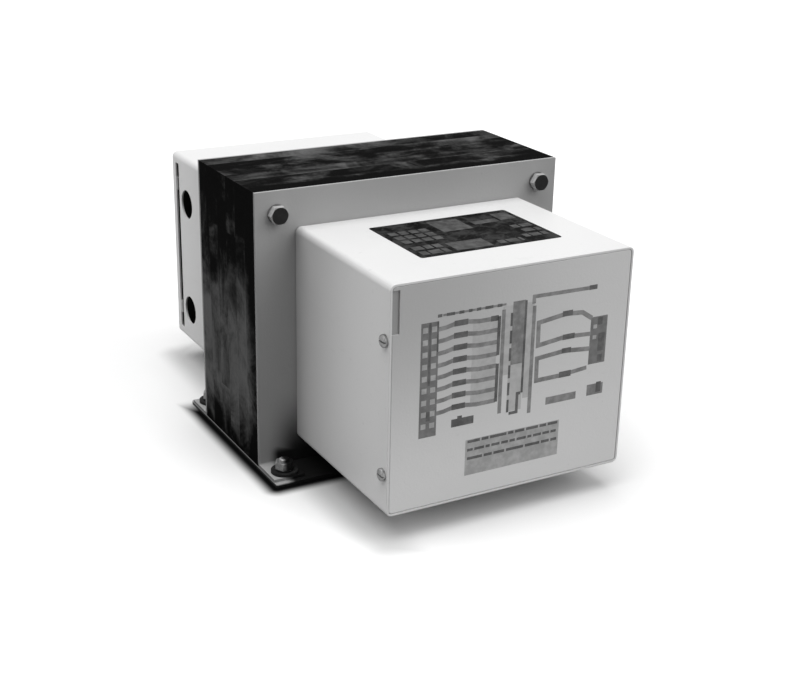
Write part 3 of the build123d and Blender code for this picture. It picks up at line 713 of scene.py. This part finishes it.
# ---------------------------------------------------------------------------
# Floor, light and background
# ---------------------------------------------------------------------------
# Floor greys: the open floor, then painted shadows near the object, beside the bells and where the base meets
# it.
floor_level = 0.94
floor_occlusion_shaded = floor_level * 0.90
floor_shaded = floor_level * 0.67
floor_shaded_hazed = floor_level * 0.60
floor_contact_shadow = floor_level * 0.004
floor_bounce = 0.16      # what soft light gets back from it


def beyond(f, node):
    """How far a point on the floor lies outside the outline of a node and its mirror images, in metres."""
    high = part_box(node)[1]
    at = f.node("ShaderNodeTexCoord", output="Object")
    quarter = f.node("ShaderNodeVectorMath", {"operation": "ABSOLUTE"}, {0: at})
    past = f.node("ShaderNodeVectorMath", {"operation": "SUBTRACT"}, {0: quarter, 1: (high.x, high.y, 1.0)})
    past = f.node("ShaderNodeVectorMath", {"operation": "MAXIMUM"}, {0: past})
    return f.node("ShaderNodeVectorMath", {"operation": "LENGTH"}, {0: past}, output="Value")


def clear_of_base(f):
    """0 where a contact shadow is painted on the floor along the base's front, left and right edges, 1 away
    from them and behind.
    """
    apart = beyond(f, "base_plate").over(2.0 * mm, 12.5 * mm)
    apart = apart.larger(f.along(1).over(60 * mm, 85 * mm))
    return apart * (0.5 + 0.5 * f.open_air(19 * mm).over(0.10, 0.90))


def clear_of_bells(f):
    """0 where a shadow is painted on the floor below the bells' left edges, 1 away from them."""
    apart = beyond(f, "rear_bell").over(0.0, 22 * mm)
    return apart.larger(1 - (f.along(0) * -1).over(60 * mm, 88 * mm))


def make_floor():
    """Pale floor, as white as the background where lit from above, with painted shadows near the object,
    beside the bells' left edges and along the base.
    """
    floor_half = 12.0
    floor_drop = 0.1 * mm
    shape = bmesh.new()
    shape.faces.new([shape.verts.new((x * floor_half, y * floor_half, -floor_drop))
                     for x, y in ((-1, -1), (1, -1), (1, 1), (-1, 1))])
    mesh = bpy.data.meshes.new("floor")
    shape.to_mesh(mesh)
    shape.free()
    f = material_nodes("floor_white")
    occlusion_shade = f.open_air(90 * mm).over(0.50, 1.0)
    plain = f.mix(occlusion_shade, grey(floor_occlusion_shaded), grey(floor_level))
    shaded = f.mix(occlusion_shade, grey(floor_shaded_hazed), grey(floor_shaded))
    colour = f.mix(clear_of_bells(f), shaded, plain)
    colour = f.mix(clear_of_base(f), grey(floor_contact_shadow), colour)
    colour = f.mix(f.seen(), grey(floor_bounce), colour)
    mesh.materials.append(f.painted(Base_Color=colour, Roughness=1.0, Specular_IOR_Level=0.0))
    floor = bpy.data.objects.new("floor", mesh)
    bpy.context.scene.collection.objects.link(floor)


def make_sun(name, towards, level, spread):
    """Soft light from one side; level is what it gives a white sheet that faces it, spread is in degrees."""
    sun = bpy.data.objects.new(name, bpy.data.lights.new(name, "SUN"))
    sun.data.energy = level * pi
    sun.data.angle = radians(spread)
    sun.rotation_mode = "QUATERNION"
    sun.rotation_quaternion = Vector(towards).to_track_quat("Z", "Y")
    bpy.context.scene.collection.objects.link(sun)


def make_world(level):
    """Even light from all round, and white where the camera or a reflection looks past the floor."""
    f = Finish(bpy.data.worlds.new("studio"))
    fill = f.node("ShaderNodeBackground", {}, {"Color": grey(level)})
    backdrop = f.node("ShaderNodeBackground", {}, {"Color": grey(1.0)})
    choice = f.node("ShaderNodeMixShader", {}, {0: f.seen(), 1: fill, 2: backdrop})
    f.node("ShaderNodeOutputWorld", {}, {"Surface": choice})
    bpy.context.scene.world = f.owner


make_camera()
make_floor()
make_sun("overhead", towards=(-0.25, 0.01, 1.0), level=0.82, spread=60)
make_sun("front_right", towards=(0.55, -0.62, 0.56), level=0.53, spread=55)
make_sun("left", towards=(-0.92, 0.32, 0.28), level=0.15, spread=40)
make_world(level=0.21)
bpy.context.scene.view_settings.view_transform = "Standard"
